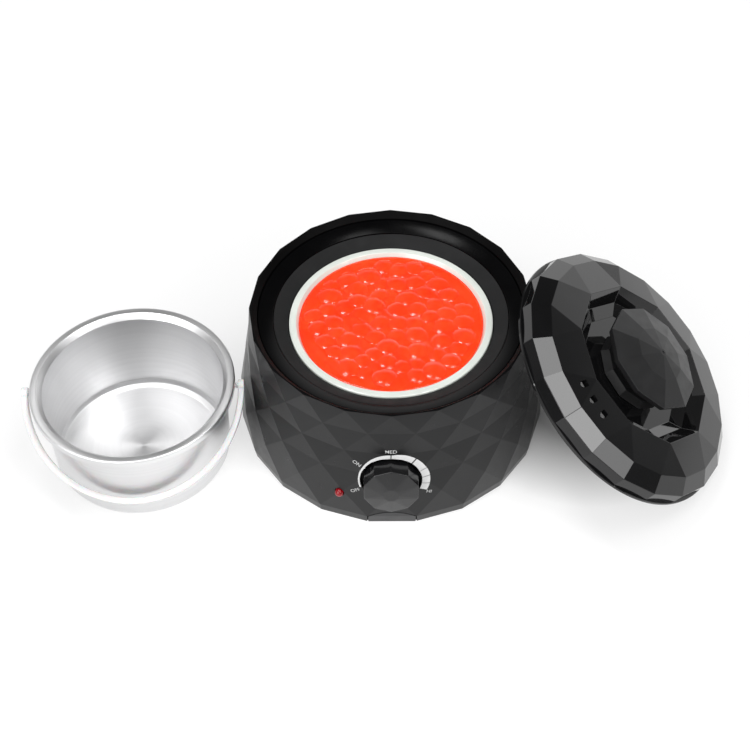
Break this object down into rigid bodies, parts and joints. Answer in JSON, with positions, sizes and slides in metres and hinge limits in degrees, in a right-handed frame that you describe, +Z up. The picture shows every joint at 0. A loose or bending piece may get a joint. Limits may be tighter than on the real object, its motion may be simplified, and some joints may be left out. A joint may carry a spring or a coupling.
{
  "type": "wax warmer pot",
  "caption": "Round faceted electric wax heater with thermostat dial, lift-out wax pot, spare pot with bail handle, and faceted knobbed lid leaning on its side.",
  "frame": {"origin": "on the table, under the middle of the heater base", "axes": "+Z up; -Y is the front, where the dial is; +X is to the right of the dial, towards the leaning lid, and the spare pot stands towards -X"},
  "size_m": [0.4048, 0.1908, 0.1041],
  "materials": {
    "housing_black": "satin black moulding",
    "gloss_black": "polished black moulding",
    "deck_black": "matte dark grey moulding",
    "aluminium": "satin spun",
    "pot_white": "pale enamel",
    "wax": "glossy orange-red depilatory wax beads",
    "bail_plastic": "translucent white",
    "steel": "plain",
    "mica": "mica and foil band",
    "nylon": "plain",
    "rubber": "matte",
    "silicone": "matte",
    "lens_red": "clear red",
    "brass": "plain",
    "wire_sleeve": "glass-braid sleeve"
  },
  "bodies": {
    "base": {"housing_shell": "housing_black", "recess_ring": "gloss_black", "deck_ring": "deck_black", "bottom_cover": "deck_black", "heating_well": "aluminium", "well_gasket": "silicone", "well_clamp_ring": "steel", "clamp_screw_1": "steel", "clamp_screw_2": "steel", "clamp_screw_3": "steel", "heater_band": "mica", "heater_terminal_left": "brass", "heater_terminal_right": "brass", "heat_shield": "steel", "thermal_fuse": "nylon", "thermostat_body": "nylon", "thermostat_nut": "brass", "indicator_lens": "lens_red", "indicator_lamp": "nylon", "cover_screw_1": "steel", "cover_screw_2": "steel", "cover_screw_3": "steel", "cover_screw_4": "steel", "foot_1": "rubber", "foot_2": "rubber", "foot_3": "rubber", "foot_4": "rubber", "cord_gland": "rubber", "terminal_block": "nylon", "lead_supply": "wire_sleeve", "lead_thermostat": "wire_sleeve", "lead_heater": "wire_sleeve"},
    "dial": {"control_knob": "housing_black", "thermostat_shaft": "steel"},
    "seated_pot": {"wax_pot": "pot_white", "wax_fill": "wax"},
    "spare_pot": {"spare_pot": "aluminium", "bail_pin_left": "steel", "bail_pin_right": "steel"},
    "bail": {"bail_handle": "bail_plastic"},
    "lid": {"lid_shell": "gloss_black", "lid_knob": "gloss_black", "lid_knob_screw": "steel"}
  },
  "joints": [
    {"name": "dial_turn", "type": "hinge", "parent": "base", "child": "dial", "pos_m": [-0.0004, -0.086, 0.039], "axis": [0, 0.9925, -0.1219], "range_deg": [0, 250]},
    {"name": "pot_lift", "type": "slide", "parent": "base", "child": "seated_pot", "axis": [0, 0, 1], "range_m": [0, 0.07]},
    {"name": "spare_pot_lift", "type": "slide", "parent": "base", "child": "spare_pot", "axis": [0, 0, 1], "range_m": [0, 0.06]},
    {"name": "bail_swing", "type": "hinge", "parent": "spare_pot", "child": "bail", "pos_m": [-0.1464, -0.0301, 0.0524], "axis": [-0.9991, -0.0419, 0], "range_deg": [0, 210]},
    {"name": "lid_lift", "type": "slide", "parent": "base", "child": "lid", "axis": [0, 0, 1], "range_m": [0, 0.08]}
  ]
}
